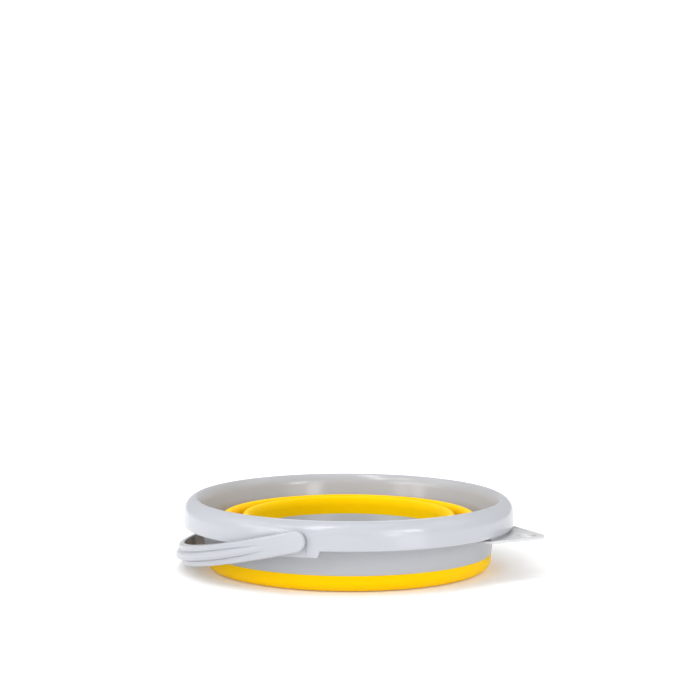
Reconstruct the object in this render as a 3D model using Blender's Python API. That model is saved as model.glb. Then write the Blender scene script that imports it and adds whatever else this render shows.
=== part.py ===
"""Collapsible bucket, folded flat.

Three rigid rings joined by two soft bands that roll over on themselves. The bucket stands on the floor (z = 0)
around the Z axis. The handle hinges about a line along Y and lies folded towards -X; the hanging tab points to +X.
Lengths below are in millimetres and are turned into metres by MM.
"""

import math

import bmesh
import bpy
from mathutils import Matrix, Vector

MM = 0.001

# ---------------------------------------------------------------- driving dimensions (mm)
SEG = 56                    # facets around each rigid ring
BAND_SEG = 44               # facets around each soft band
GAP = 0.3                   # clearance between pieces that touch

RIM_R = 161.3               # outside of the skirt
RIM_TOP = 70.2              # top of the lip
SKIRT_BOTTOM = 43.1
SKIRT_T = 2.3
SHOULDER_Z = 55.5           # where the skirt starts to round over
SHOULDER_R = 145.0          # centre of the rounded shoulder
LIP_R = 147.0               # inner crest of the lip
COLLAR_BOTTOM = 16.8
COLLAR_R_BOTTOM = 139.8     # outside of the wall at its foot
COLLAR_R_TOP = 144.9
COLLAR_T = 2.2

BAND_T = 1.5                # soft band thickness
UP_LEG_R_LOW = 126.7
UP_CREST_R = 121.2
UP_CREST_Z = 48.6
UP_BEND = 3.85
UP_TURN_R = 129.8           # lowest point of the upper fold
BAND_LOW = 0.65             # the folds stay just off the floor

RING_TOP = 42.4
RING_BOTTOM = 12.0
RING_R_TOP = 118.3
RING_R_BOTTOM = 114.3
RING_T = 2.0

LO_CREST_R = 101.3
LO_CREST_Z = 47.2
LO_BEND = 3.75
LO_TURN_R = 109.3
LO_TURN = 4.0

CUP_TOP = 36.9
CUP_R_TOP = 98.1
CUP_R_LOW = 92.0
CUP_T = 2.0
FOOT_R = 84.0

PIVOT_Z = 52.45
HANDLE_R = 168.6            # outer face of the handle
HANDLE_W = 20.3
HANDLE_DEPTH = 6.1
HANDLE_SKIN = 2.0
HANDLE_WALL = 2.2
HANDLE_REST = 13.85         # degrees below level, the grip just off the floor
END_INSET = 1.95            # the round ends are centred this far up the arms from the pivots
RIB_T = 1.6
RIDGE_H = 4.6
RIDGE_W = 8.3

LUG_HALF = 19.4
LUG_BOTTOM = 36.8
LUG_TOP = 59.5
LUG_R = 161.9               # outer face of the lugs, round like the skirt
GROOVE_HALF = 6.9
GROOVE_DEPTH = 0.8
BORE_R = 3.3
PIN_R = 3.0
PIN_HEAD_R = 5.0
BOSS_R = 6.2

TAB_TOP = 41.0
TAB_T = 2.4
TAB_TIP_R = 15.0
TAB_TIP_X = 180.8
TAB_HOLE_X = 180.7
TAB_HOLE_R = 7.7
TAB_HALF = 45.5
TAB_ROOT_R = 146.4


# ---------------------------------------------------------------- helpers
def clear():
    for ob in list(bpy.data.objects):
        bpy.data.objects.remove(ob, do_unlink=True)


def material(name, colour, rough):
    m = bpy.data.materials.new(name)
    m.use_nodes = True
    b = m.node_tree.nodes["Principled BSDF"]
    b.inputs["Base Color"].default_value = (*colour, 1.0)
    b.inputs["Roughness"].default_value = rough
    b.inputs["Metallic"].default_value = 0.0
    m.diffuse_color = (*colour, 1.0)
    return m


def make(name, bm, mat, smooth=32.0):
    bmesh.ops.remove_doubles(bm, verts=bm.verts, dist=1e-7)
    bmesh.ops.recalc_face_normals(bm, faces=bm.faces)
    me = bpy.data.meshes.new(name)
    bm.to_mesh(me)
    bm.free()
    me.materials.append(mat)
    me.shade_smooth()
    me.set_sharp_from_angle(angle=math.radians(smooth))
    ob = bpy.data.objects.new(name, me)
    bpy.context.collection.objects.link(ob)
    return ob


def turned(outline, seg=SEG, closed=True):
    """Spins an outline of (r, z) points in mm once round Z. Points with r = 0 meet on the axis."""
    bm = bmesh.new()
    vs = [bm.verts.new((r * MM, 0.0, z * MM)) for r, z in outline]
    n = len(vs)
    es = [bm.edges.new((vs[i], vs[(i + 1) % n])) for i in range(n if closed else n - 1)]
    bmesh.ops.spin(bm, geom=vs + es, cent=(0, 0, 0), axis=(0, 0, 1), dvec=(0, 0, 0),
                   angle=2 * math.pi, steps=seg, use_merge=True)
    bmesh.ops.remove_doubles(bm, verts=bm.verts, dist=2e-7)
    return bm


def offset(line, d):
    """Moves a polyline of (r, z) sideways by d, along the mean normal at each point."""
    out = []
    for i, (r, z) in enumerate(line):
        a = line[max(i - 1, 0)]
        b = line[min(i + 1, len(line) - 1)]
        t = Vector((b[0] - a[0], b[1] - a[1])).normalized()
        out.append((r - t.y * d, z + t.x * d))
    return out


def sheet(line, thick):
    """Closed outline of a strip of even thickness along a centre line."""
    return offset(line, thick / 2) + offset(line, -thick / 2)[::-1]


def arc(cr, cz, ar, az, a0, a1, n):
    """Points on an ellipse from angle a0 to a1 in degrees, both ends included."""
    return [(cr + ar * math.cos(math.radians(a0 + (a1 - a0) * i / n)),
             cz + az * math.sin(math.radians(a0 + (a1 - a0) * i / n))) for i in range(n + 1)]


def superarc(cr, cz, ar, az, a0, a1, n, power):
    pts = []
    for i in range(n + 1):
        a = math.radians(a0 + (a1 - a0) * i / n)
        c, s = math.cos(a), math.sin(a)
        pts.append((cr + ar * math.copysign(abs(c) ** (2 / power), c), cz + az * abs(s) ** (2 / power)))
    return pts


def boolean(ob, cutter, operation):
    m = ob.modifiers.new(cutter.name, "BOOLEAN")
    m.operation = operation
    m.solver = "EXACT"
    m.object = cutter
    cutter.hide_render = True
    cutter.display_type = "WIRE"


def rod(y0, y1, r, x, z, seg=24, chamfer=0.0):
    """Round bar along Y between y0 and y1 (mm)."""
    bm = bmesh.new()
    bmesh.ops.create_cone(bm, cap_ends=True, cap_tris=False, segments=seg, radius1=r * MM, radius2=r * MM,
                          depth=abs(y1 - y0) * MM)
    if chamfer:
        es = [e for e in bm.edges if len({round(v.co.z, 7) for v in e.verts}) == 1]
        bmesh.ops.bevel(bm, geom=es, offset=chamfer * MM, segments=1, affect="EDGES", profile=0.5)
    bm.transform(Matrix.Translation((x * MM, (y0 + y1) / 2 * MM, z * MM)) @ Matrix.Rotation(math.pi / 2, 4, "X"))
    return bm


# ---------------------------------------------------------------- outlines
def collar_outline():
    k = SHOULDER_R
    top = superarc(k, SHOULDER_Z, RIM_R - k, RIM_TOP - SHOULDER_Z, 0, 80, 9, 2.15)
    top = [p for p in top if p[0] > LIP_R + 0.4]
    under = [(r, z) for r, z in superarc(k, SHOULDER_Z, RIM_R - k - SKIRT_T, RIM_TOP - SHOULDER_Z - 2.2, 0, 78, 6, 2.15)
             if r > LIP_R + 2.0]
    inner = [(LIP_R, RIM_TOP - 0.35), (LIP_R - 1.6, RIM_TOP - 2.0), (LIP_R - 3.0, RIM_TOP - 4.9),
             (COLLAR_R_TOP - COLLAR_T, RIM_TOP - 9.0)]
    wall_in = [(COLLAR_R_TOP - COLLAR_T - 0.4, SHOULDER_Z), (COLLAR_R_BOTTOM - COLLAR_T, COLLAR_BOTTOM)]
    wall_out = [(COLLAR_R_BOTTOM, COLLAR_BOTTOM), (COLLAR_R_TOP - 0.4, SHOULDER_Z),
                (COLLAR_R_TOP + 0.5, RIM_TOP - 7.2), (COLLAR_R_TOP + 2.6, RIM_TOP - 3.9)]
    skirt = [(RIM_R - 0.5, SKIRT_BOTTOM), (RIM_R, SKIRT_BOTTOM + 0.6)]
    skirt_in = [(RIM_R - SKIRT_T, SKIRT_BOTTOM)]
    return skirt + top + inner + wall_in + wall_out + under[::-1] + skirt_in


def upper_line():
    """Centre line of the upper band, from the collar's foot to the top of the middle ring."""
    strip = [(COLLAR_R_BOTTOM - 0.75, COLLAR_BOTTOM - GAP)]
    low = BAND_LOW + BAND_T / 2
    outer = arc(UP_TURN_R, low + 9.8, COLLAR_R_BOTTOM - 1.15 - UP_TURN_R, 9.8, 0, -90, 4)
    inner = arc(UP_TURN_R, low + 5.0, UP_TURN_R - UP_LEG_R_LOW, 5.0, -90, -180, 3)[1:]
    crest = arc(UP_CREST_R, UP_CREST_Z, UP_BEND, UP_BEND, 0, 180, 6)
    return strip + outer + inner + crest + [(RING_R_TOP - 1.0, RING_TOP + GAP)]


def lower_line():
    """Centre line of the lower band, from the foot of the middle ring to the top of the cup."""
    low = BAND_LOW + BAND_T / 2
    turn = arc(LO_TURN_R, low + LO_TURN, LO_TURN, LO_TURN, 0, -180, 6)
    crest = arc(LO_CREST_R, LO_CREST_Z, LO_BEND, LO_BEND, 0, 180, 6)
    return [(RING_R_BOTTOM - 1.0, RING_BOTTOM - GAP)] + turn + crest + [(CUP_R_TOP - 1.0, CUP_TOP + GAP)]


def ring_outline():
    return [(RING_R_TOP, RING_TOP), (RING_R_TOP - RING_T, RING_TOP),
            (RING_R_BOTTOM - RING_T, RING_BOTTOM), (RING_R_BOTTOM, RING_BOTTOM)]


def cup_outline():
    return [(0, 0), (14, 0), (15, 0.9), (75, 0.9), (76, 0), (FOOT_R, 0), (FOOT_R + 4.2, 1.2), (FOOT_R + 6.9, 3.8),
            (CUP_R_LOW, 8.0), (CUP_R_TOP, CUP_TOP), (CUP_R_TOP - CUP_T, CUP_TOP), (CUP_R_LOW - 2.2, 8.6),
            (FOOT_R + 4.4, 5.2), (FOOT_R + 1.6, 3.6), (FOOT_R - 3.0, 3.1), (0, 3.1)]


# ---------------------------------------------------------------- rings and bands
def lug_block(side):
    """Low pad on the skirt, round like it, its back hollowed to the skirt and its foot below the skirt."""
    bm = bmesh.new()
    rows = []
    for z, inset, out in ((LUG_BOTTOM, 1.0, LUG_R), (LUG_BOTTOM + 1.0, 0.0, LUG_R), (LUG_TOP - 2.4, 0.0, LUG_R),
                          (LUG_TOP, 0.0, LUG_R - 2.0)):
        w = LUG_HALF - inset
        face = [(x, math.sqrt(out * out - x * x) - (1.0 if abs(x) == w else 0.0))
                for x in (w, w - 1.6, 11.0, 3.7, -3.7, -11.0, -w + 1.6, -w)]
        rows.append([bm.verts.new((px * MM, side * py * MM, z * MM)) for px, py in [(-w, 149.0), (w, 149.0)] + face])
    for a, b in zip(rows[:-1], rows[1:]):
        for i in range(10):
            j = (i + 1) % 10
            bm.faces.new((a[i], a[j], b[j], b[i]))
    bm.faces.new(rows[0][::-1])
    bm.faces.new(rows[-1])
    return bm


def groove_cutter(side):
    """Lead-in for the pin, from the lug's foot up to the bore, round at its end."""
    bm = bmesh.new()
    n = 12
    loop = [(-GROOVE_HALF, LUG_BOTTOM - 3.0), (GROOVE_HALF, LUG_BOTTOM - 3.0)]
    loop += [(GROOVE_HALF * math.cos(math.pi * i / n), PIVOT_Z + GROOVE_HALF * math.sin(math.pi * i / n)) for i in range(n + 1)]
    a = [bm.verts.new((x * MM, side * (LUG_R - GROOVE_DEPTH) * MM, z * MM)) for x, z in loop]
    b = [bm.verts.new((x * MM, side * (LUG_R + 6.0) * MM, z * MM)) for x, z in loop]
    k = len(loop)
    for i in range(k):
        j = (i + 1) % k
        bm.faces.new((a[i], a[j], b[j], b[i]))
    bm.faces.new(a[::-1])
    bm.faces.new(b)
    return bm


def build_collar(mat):
    ob = make("rim_collar", turned(collar_outline()), mat)
    for side, tag in ((-1, "front"), (1, "rear")):
        lug = make("lug_" + tag, lug_block(side), mat)
        core = make("lug_core_" + tag, turned([(140.0, LUG_BOTTOM - 5), (159.6, LUG_BOTTOM - 5),
                                               (159.6, LUG_TOP - 3.0), (158.4, LUG_TOP + 5), (140.0, LUG_TOP + 5)]), mat)
        boolean(lug, core, "DIFFERENCE")
        boolean(ob, lug, "UNION")
    for side, tag in ((-1, "front"), (1, "rear")):
        boolean(ob, make("lug_groove_" + tag, groove_cutter(side), mat), "DIFFERENCE")
        boolean(ob, make("lug_bore_" + tag, rod(side * 153.0, side * 167.0, BORE_R, 0, PIVOT_Z), mat), "DIFFERENCE")
    return ob


# ---------------------------------------------------------------- handle
def on_arc(theta, rho, v):
    """A point of the level handle: theta from the front pivot round by -X, rho from the Z axis, v above the hinge."""
    return Vector((-rho * math.sin(theta) * MM, -rho * math.cos(theta) * MM, v * MM))


def stations(half, end_at, n_end, mid):
    """Angles and half widths of a strip with round ends, each centred END_INSET up its arm from the pivot."""
    out = []
    start = END_INSET / end_at
    for i in range(n_end):
        a = math.radians(4 + 86 * i / n_end)
        out.append((start - (half * math.cos(a)) / end_at, half * math.sin(a)))
    for i in range(mid + 1):
        out.append((start + (math.pi - 2 * start) * i / mid, half))
    for i in range(n_end)[::-1]:
        a = math.radians(4 + 86 * i / n_end)
        out.append((math.pi - start + (half * math.cos(a)) / end_at, half * math.sin(a)))
    return out


def ridge_shape(theta):
    """Half width and height of the round bead along the grip, which sinks to a blunt point before each pivot."""
    t = math.degrees(min(theta, math.pi - theta)) - 12.0
    if t <= 0:
        return 0.35, 0.0
    return RIDGE_W / 2 * min(1.0, t / 19.0) ** 0.2, RIDGE_H * math.sin(math.pi / 2 * min(1.0, t / 43.0)) ** 0.8


def handle_body():
    bm = bmesh.new()
    rows = []
    for theta, h in stations(HANDLE_W / 2, HANDLE_R, 4, 44):
        r = min(3.0, h * 0.45)
        rw, rh = ridge_shape(theta)
        rw = min(rw, h * 0.4)
        o, i = HANDLE_R, HANDLE_R - HANDLE_DEPTH
        bead = [(o + rh * e, rw * w) for w, e in ((-1, 0), (-0.81, 0.588), (-0.31, 0.951), (0.31, 0.951), (0.81, 0.588), (1, 0))]
        sec = [(i, -h), (o - r, -h), (o - r * 0.3, -h + r * 0.3), (o, -h + r)] + bead
        sec += [(o, h - r), (o - r * 0.3, h - r * 0.3), (o - r, h), (i, h)]
        rows.append([bm.verts.new(on_arc(theta, rho, v)) for rho, v in sec])
    for a, b in zip(rows[:-1], rows[1:]):
        n = len(a)
        for j in range(n):
            m = (j + 1) % n
            bm.faces.new((a[j], b[j], b[m], a[m]))
    bm.faces.new(rows[0])
    bm.faces.new(rows[-1][::-1])
    return bm


def handle_pockets():
    """The hollow side of the channel, in bays left apart by thin ribs."""
    bays = []
    half = HANDLE_W / 2 - HANDLE_WALL
    ribs = [math.radians(a) for a in (9, 36, 63, 90, 117, 144, 171)]
    edge = RIB_T / 2 / HANDLE_R
    spans = [(None, ribs[0] - edge)] + [(ribs[i] + edge, ribs[i + 1] - edge) for i in range(6)] + [(ribs[6] + edge, None)]
    for lo, hi in spans:
        rows = []
        if lo is None or hi is None:
            rows = [(t, h) for t, h in stations(half, HANDLE_R, 3, 2) if h < half - 1e-6 or t < 0.05 or t > math.pi - 0.05]
            rows = [p for p in rows if (p[0] < 1.0) == (lo is None)]
            rows = rows + [(hi, half)] if lo is None else [(lo, half)] + rows
        else:
            rows = [(lo + (hi - lo) * i / 5, half) for i in range(6)]
        bays.append(rows)
    bm = bmesh.new()
    for rows in bays:
        loops = []
        for theta, h in rows:
            loops.append([bm.verts.new(on_arc(theta, rho, v)) for rho, v in
                          ((HANDLE_R - HANDLE_DEPTH - 3.0, -h), (HANDLE_R - HANDLE_SKIN, -h),
                           (HANDLE_R - HANDLE_SKIN, h), (HANDLE_R - HANDLE_DEPTH - 3.0, h))])
        for a, b in zip(loops[:-1], loops[1:]):
            for j in range(4):
                m = (j + 1) % 4
                bm.faces.new((a[j], b[j], b[m], a[m]))
        bm.faces.new(loops[0])
        bm.faces.new(loops[-1][::-1])
    return bm


def build_handle(mat, hinge):
    ob = make("carry_handle", handle_body(), mat, 28)
    pockets = make("handle_pockets", handle_pockets(), mat)
    boolean(ob, pockets, "DIFFERENCE")
    parts = [pockets]
    for side, tag in ((-1, "front"), (1, "rear")):
        boss = make("handle_boss_" + tag, rod(side * (LUG_R + 0.7), side * (HANDLE_R - 0.8), BOSS_R, 0, 0), mat)
        bore = make("handle_bore_" + tag, rod(side * (LUG_R - 4.0), side * (HANDLE_R - 1.8), BORE_R, 0, 0), mat)
        boolean(ob, boss, "UNION")
        boolean(ob, bore, "DIFFERENCE")
        parts += [boss, bore]
    for p in parts + [ob]:
        p.parent = hinge
    return ob


def build_pin(side, tag, mat, hinge):
    """Headed stud: head behind the lug, shank through it and into the handle's boss."""
    pin = make("pivot_pin_" + tag, rod(side * 157.7, side * (HANDLE_R - 2.1), PIN_R, 0, 0, 24, 0.4), mat)
    head = make("pin_head_" + tag, rod(side * 155.7, side * 158.3, PIN_HEAD_R, 0, 0, 24, 0.5), mat)
    boolean(pin, head, "UNION")
    for p in (pin, head):
        p.parent = hinge
    return pin


# ---------------------------------------------------------------- hanging tab
def build_tab(mat):
    tip = [(TAB_TIP_X + TAB_TIP_R * math.cos(math.radians(a)), TAB_TIP_R * math.sin(math.radians(a)))
           for a in range(-46, 47, 9)]
    corner = [(157.5, TAB_HALF - 0.4), (154.5, TAB_HALF + 1.6), (150.5, TAB_HALF + 1.4)]
    a_end = math.atan2(TAB_HALF - 0.5, 144.0)
    root = [(TAB_ROOT_R * math.cos(a_end * (1 - i / 5)), TAB_ROOT_R * math.sin(a_end * (1 - i / 5))) for i in range(11)]
    loop = tip + corner + root + [(x, -y) for x, y in corner[::-1]]
    bm = bmesh.new()
    lo = [bm.verts.new((x * MM, y * MM, (TAB_TOP - TAB_T) * MM)) for x, y in loop]
    hi = [bm.verts.new((x * MM, y * MM, TAB_TOP * MM)) for x, y in loop]
    n = len(loop)
    for i in range(n):
        j = (i + 1) % n
        bm.faces.new((lo[i], lo[j], hi[j], hi[i]))
    bm.faces.new(lo[::-1])
    bm.faces.new(hi)
    ob = make("hang_tab", bm, mat)
    hole = bmesh.new()
    bmesh.ops.create_cone(hole, cap_ends=True, cap_tris=False, segments=28, radius1=TAB_HOLE_R * MM, radius2=TAB_HOLE_R * MM,
                          depth=12 * MM, matrix=Matrix.Translation((TAB_HOLE_X * MM, 0, TAB_TOP * MM)))
    boolean(ob, make("tab_hole", hole, mat), "DIFFERENCE")
    # upstand that clips the plate inside the skirt
    up = bmesh.new()
    rows = []
    for i in range(9):
        a = math.radians(-14 + 3.5 * i)
        rows.append([up.verts.new((r * math.cos(a) * MM, r * math.sin(a) * MM, z * MM)) for r, z in
                     ((155.4, TAB_TOP - 1.0), (157.8, TAB_TOP - 1.0), (157.8, 53.0), (155.4, 53.0))])
    for a, b in zip(rows[:-1], rows[1:]):
        for j in range(4):
            m = (j + 1) % 4
            up.faces.new((a[j], b[j], b[m], a[m]))
    up.faces.new(rows[0])
    up.faces.new(rows[-1][::-1])
    boolean(ob, make("tab_upstand", up, mat), "UNION")
    return ob


# ---------------------------------------------------------------- assembly
def main():
    clear()
    grey = material("rim_grey", (0.66, 0.69, 0.73), 0.28)
    wall_grey = material("wall_grey", (0.50, 0.52, 0.55), 0.38)
    handle_grey = material("handle_grey", (0.68, 0.70, 0.73), 0.33)
    pin_grey = material("pin_grey", (0.45, 0.46, 0.48), 0.40)
    tab_grey = material("tab_grey", (0.66, 0.67, 0.69), 0.35)
    yellow_up = material("upper_yellow", (1.0, 0.66, 0.0), 0.48)
    yellow_low = material("lower_yellow", (0.98, 0.63, 0.0), 0.50)
    cup_grey = material("cup_grey", (0.48, 0.50, 0.53), 0.38)

    make("base_cup", turned(cup_outline(), closed=False), cup_grey)
    make("lower_band", turned(sheet(lower_line(), BAND_T), BAND_SEG), yellow_low)
    make("middle_ring", turned(ring_outline()), wall_grey)
    make("upper_band", turned(sheet(upper_line(), BAND_T), BAND_SEG), yellow_up)
    build_collar(grey)

    hinge = bpy.data.objects.new("handle_hinge", None)
    bpy.context.collection.objects.link(hinge)
    hinge.location = (0, 0, PIVOT_Z * MM)
    hinge.rotation_euler = (0, math.radians(-HANDLE_REST), 0)
    build_handle(handle_grey, hinge)
    build_pin(-1, "front", pin_grey, hinge)
    build_pin(1, "rear", pin_grey, hinge)
    build_tab(tab_grey)
    bpy.context.view_layer.update()


main()
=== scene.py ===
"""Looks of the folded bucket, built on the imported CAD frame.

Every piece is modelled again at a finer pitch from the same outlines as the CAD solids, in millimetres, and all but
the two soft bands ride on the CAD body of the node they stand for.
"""
import math

import bmesh
import bpy
import numpy as np
from mathutils import Matrix, Vector


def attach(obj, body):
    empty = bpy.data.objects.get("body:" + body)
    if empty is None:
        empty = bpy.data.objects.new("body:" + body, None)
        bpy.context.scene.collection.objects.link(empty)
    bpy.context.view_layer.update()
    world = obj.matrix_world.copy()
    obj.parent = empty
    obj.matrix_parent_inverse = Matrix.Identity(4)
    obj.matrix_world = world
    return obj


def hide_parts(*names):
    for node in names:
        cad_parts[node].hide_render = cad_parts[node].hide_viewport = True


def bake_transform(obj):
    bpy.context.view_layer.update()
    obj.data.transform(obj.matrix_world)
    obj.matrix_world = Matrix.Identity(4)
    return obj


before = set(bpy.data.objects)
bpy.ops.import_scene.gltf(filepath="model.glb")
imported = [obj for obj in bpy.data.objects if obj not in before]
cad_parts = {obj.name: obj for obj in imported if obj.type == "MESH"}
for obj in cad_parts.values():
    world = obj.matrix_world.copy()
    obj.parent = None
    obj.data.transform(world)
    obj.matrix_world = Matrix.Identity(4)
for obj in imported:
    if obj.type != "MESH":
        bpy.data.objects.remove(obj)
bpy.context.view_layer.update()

MM = 0.001

# ------------------------------------------------------------------ dimensions shared with the CAD, in mm
RIM_R, RIM_TOP = 161.3, 70.2
SKIRT_BOTTOM, SKIRT_T = 43.1, 2.3
SHOULDER_R, SHOULDER_Z = 145.0, 55.5
COLLAR_BOTTOM, COLLAR_T = 16.8, 2.2
COLLAR_R_BOTTOM = 139.8
BAND_T = 1.5
RING_TOP, RING_BOTTOM = 42.4, 12.0
CUP_TOP = 36.9
PIVOT_Z = 52.45
HANDLE_R, HANDLE_W, HANDLE_DEPTH = 168.6, 20.3, 6.1
HANDLE_SKIN, HANDLE_WALL = 2.0, 2.2
HANDLE_REST = 13.85
END_INSET = 1.95            # the handle's round ends are centred this far up the arms from the pivots
RIDGE_H, RIDGE_W = 4.6, 8.3
LUG_R, LUG_BOTTOM = 161.9, 36.8
TAB_TOP, TAB_T = 41.0, 2.4
TAB_TIP_X, TAB_TIP_R = 180.8, 15.0
TAB_HOLE_X, TAB_HOLE_R = 180.7, 7.7
BORE_R, BOSS_R = 3.3, 6.2
UPPER_TRAVEL, LOWER_TRAVEL = 100.0, 94.0


# ------------------------------------------------------------------ outline helpers
def arc(cr, cz, ar, az, a0, a1, n):
    """Points on an ellipse from angle a0 to a1 in degrees, both ends included."""
    return [(cr + ar * math.cos(math.radians(a0 + (a1 - a0) * i / n)),
             cz + az * math.sin(math.radians(a0 + (a1 - a0) * i / n))) for i in range(n + 1)]


def superarc(cr, cz, ar, az, a0, a1, n, power):
    pts = []
    for i in range(n + 1):
        a = math.radians(a0 + (a1 - a0) * i / n)
        c, s = math.cos(a), math.sin(a)
        pts.append((cr + ar * math.copysign(abs(c) ** (2 / power), c), cz + az * abs(s) ** (2 / power)))
    return pts


def rounded(corners, closed=True, step=12.0):
    """Outline through corners (x, y, radius), each corner replaced by an arc of that radius."""
    out = []
    n = len(corners)
    for i, (x, y, f) in enumerate(corners):
        if f <= 0 or (not closed and i in (0, n - 1)):
            out.append((x, y))
            continue
        p = Vector((x, y))
        a = Vector(corners[i - 1][:2]) - p
        b = Vector(corners[(i + 1) % n][:2]) - p
        la, lb = a.length, b.length
        a.normalize()
        b.normalize()
        ang = a.angle(b)
        if ang > math.radians(178.5):
            out.append((x, y))
            continue
        t = min(f / math.tan(ang / 2), 0.48 * la, 0.48 * lb)
        f2 = t * math.tan(ang / 2)
        c = p + (a + b).normalized() * (f2 / math.sin(ang / 2))
        p0, p1 = p + a * t, p + b * t
        a0 = math.atan2(p0.y - c.y, p0.x - c.x)
        d = (math.atan2(p1.y - c.y, p1.x - c.x) - a0 + math.pi) % (2 * math.pi) - math.pi
        m = max(2, int(abs(d) / math.radians(step)) + 1)
        for q in range(m + 1):
            out.append((c.x + f2 * math.cos(a0 + d * q / m), c.y + f2 * math.sin(a0 + d * q / m)))
    return out


def resample(line, pitch):
    """A polyline with extra points so that no step is longer than pitch."""
    out = [line[0]]
    for a, b in zip(line[:-1], line[1:]):
        n = max(1, int(math.ceil(math.dist(a, b) / pitch)))
        for i in range(1, n + 1):
            out.append((a[0] + (b[0] - a[0]) * i / n, a[1] + (b[1] - a[1]) * i / n))
    return out


def smooth_line(points, n):
    """Centripetal spline through points, as n even steps."""
    p = [Vector(q) for q in points]
    p = [p[0] * 2 - p[1]] + p + [p[-1] * 2 - p[-2]]
    out = []
    for i in range(1, len(p) - 2):
        a, b, c, d = p[i - 1:i + 3]
        for k in range(n):
            t = k / n
            out.append(tuple(0.5 * ((2 * b) + (c - a) * t + (2 * a - 5 * b + 4 * c - d) * t * t
                                    + (3 * b - a - 3 * c + d) * t ** 3)))
    out.append(tuple(p[-2]))
    return out


def smoothstep(x):
    x = np.clip(x, 0.0, 1.0)
    return x * x * (3 - 2 * x)


# ------------------------------------------------------------------ mesh helpers
def add_object(name, bm, sharp=None):
    me = bpy.data.meshes.new(name)
    bm.to_mesh(me)
    bm.free()
    me.shade_smooth()
    if sharp:
        me.set_sharp_from_angle(angle=math.radians(sharp))
    ob = bpy.data.objects.new(name, me)
    bpy.context.scene.collection.objects.link(ob)
    return ob


def grid_bmesh(points, wrap_i=True, wrap_j=True):
    """Quads over an (n, k, 3) array of points in mm, joined round in either direction."""
    n, k, _ = points.shape
    bm = bmesh.new()
    vs = [[bm.verts.new((points[i, j] * MM).tolist()) for j in range(k)] for i in range(n)]
    for i in range(n if wrap_i else n - 1):
        for j in range(k if wrap_j else k - 1):
            a, b = vs[i], vs[(i + 1) % n]
            bm.faces.new((a[j], a[(j + 1) % k], b[(j + 1) % k], b[j]))
    return bm


def tidy(bm, dist=1e-6):
    bmesh.ops.remove_doubles(bm, verts=bm.verts, dist=dist)
    bmesh.ops.dissolve_degenerate(bm, edges=bm.edges, dist=1e-7)
    bmesh.ops.recalc_face_normals(bm, faces=bm.faces)
    return bm


def turned(outline, columns, closed=True):
    """Outline of (r, z) turned about Z at the given angles. An open outline starts and ends on the axis."""
    o = np.array(outline, float)
    t = np.asarray(columns, float)
    pts = np.empty((len(t), len(o), 3))
    pts[:, :, 0] = np.cos(t)[:, None] * o[None, :, 0]
    pts[:, :, 1] = np.sin(t)[:, None] * o[None, :, 0]
    pts[:, :, 2] = o[None, :, 1]
    return tidy(grid_bmesh(pts, True, closed))


def even(n):
    return np.linspace(0, 2 * math.pi, n, endpoint=False)


def bool_apply(ob, cutter, operation):
    """Applies one boolean and drops the cutter."""
    m = ob.modifiers.new("cut", "BOOLEAN")
    m.operation = operation
    m.solver = "MANIFOLD"
    m.object = cutter
    bpy.context.view_layer.update()
    dg = bpy.context.evaluated_depsgraph_get()
    me = bpy.data.meshes.new_from_object(ob.evaluated_get(dg))
    ob.modifiers.clear()
    old = ob.data
    ob.data = me
    bpy.data.meshes.remove(old)
    bpy.data.objects.remove(cutter, do_unlink=True)
    return ob


def weld(ob):
    """Merges the vertices that the booleans left on top of each other."""
    bm = bmesh.new()
    bm.from_mesh(ob.data)
    bmesh.ops.remove_doubles(bm, verts=bm.verts, dist=2e-6)
    bmesh.ops.dissolve_degenerate(bm, edges=bm.edges, dist=1e-7)
    bm.to_mesh(ob.data)
    bm.free()


def rod(name, y0, y1, r, x, z, seg=48):
    bm = bmesh.new()
    bmesh.ops.create_cone(bm, cap_ends=True, cap_tris=False, segments=seg, radius1=r * MM, radius2=r * MM,
                          depth=abs(y1 - y0) * MM)
    bm.transform(Matrix.Translation((x * MM, (y0 + y1) / 2 * MM, z * MM)) @ Matrix.Rotation(math.pi / 2, 4, "X"))
    return add_object(name, bm)


# ------------------------------------------------------------------ materials
def nodes_of(name):
    m = bpy.data.materials.new(name)
    m.use_nodes = True
    nt = m.node_tree
    return m, nt, nt.nodes["Principled BSDF"]


def noise(nt, coord, scale, detail=3.0, rough=0.5, distortion=0.0):
    n = nt.nodes.new("ShaderNodeTexNoise")
    n.inputs["Scale"].default_value = scale
    n.inputs["Detail"].default_value = detail
    n.inputs["Roughness"].default_value = rough
    n.inputs["Distortion"].default_value = distortion
    nt.links.new(coord, n.inputs["Vector"])
    return n.outputs["Fac"]


def ranged(nt, fac, lo, hi, a=0.3, b=0.7):
    n = nt.nodes.new("ShaderNodeMapRange")
    n.inputs["From Min"].default_value = a
    n.inputs["From Max"].default_value = b
    n.inputs["To Min"].default_value = lo
    n.inputs["To Max"].default_value = hi
    nt.links.new(fac, n.inputs["Value"])
    return n.outputs["Result"]


def mixed(nt, fac, c1, c2):
    n = nt.nodes.new("ShaderNodeMix")
    n.data_type = "RGBA"
    n.inputs["A"].default_value = (*c1, 1.0)
    n.inputs["B"].default_value = (*c2, 1.0)
    nt.links.new(fac, n.inputs["Factor"])
    return n.outputs["Result"]


def math_node(nt, op, a, b=None):
    n = nt.nodes.new("ShaderNodeMath")
    n.operation = op
    for i, v in enumerate((a, b)):
        if v is None:
            continue
        if isinstance(v, (int, float)):
            n.inputs[i].default_value = v
        else:
            nt.links.new(v, n.inputs[i])
    return n.outputs[0]


def bumped(nt, height, distance, strength, after=None):
    n = nt.nodes.new("ShaderNodeBump")
    n.inputs["Distance"].default_value = distance
    n.inputs["Strength"].default_value = strength
    nt.links.new(height, n.inputs["Height"])
    if after is not None:
        nt.links.new(after, n.inputs["Normal"])
    return n.outputs["Normal"]


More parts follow.
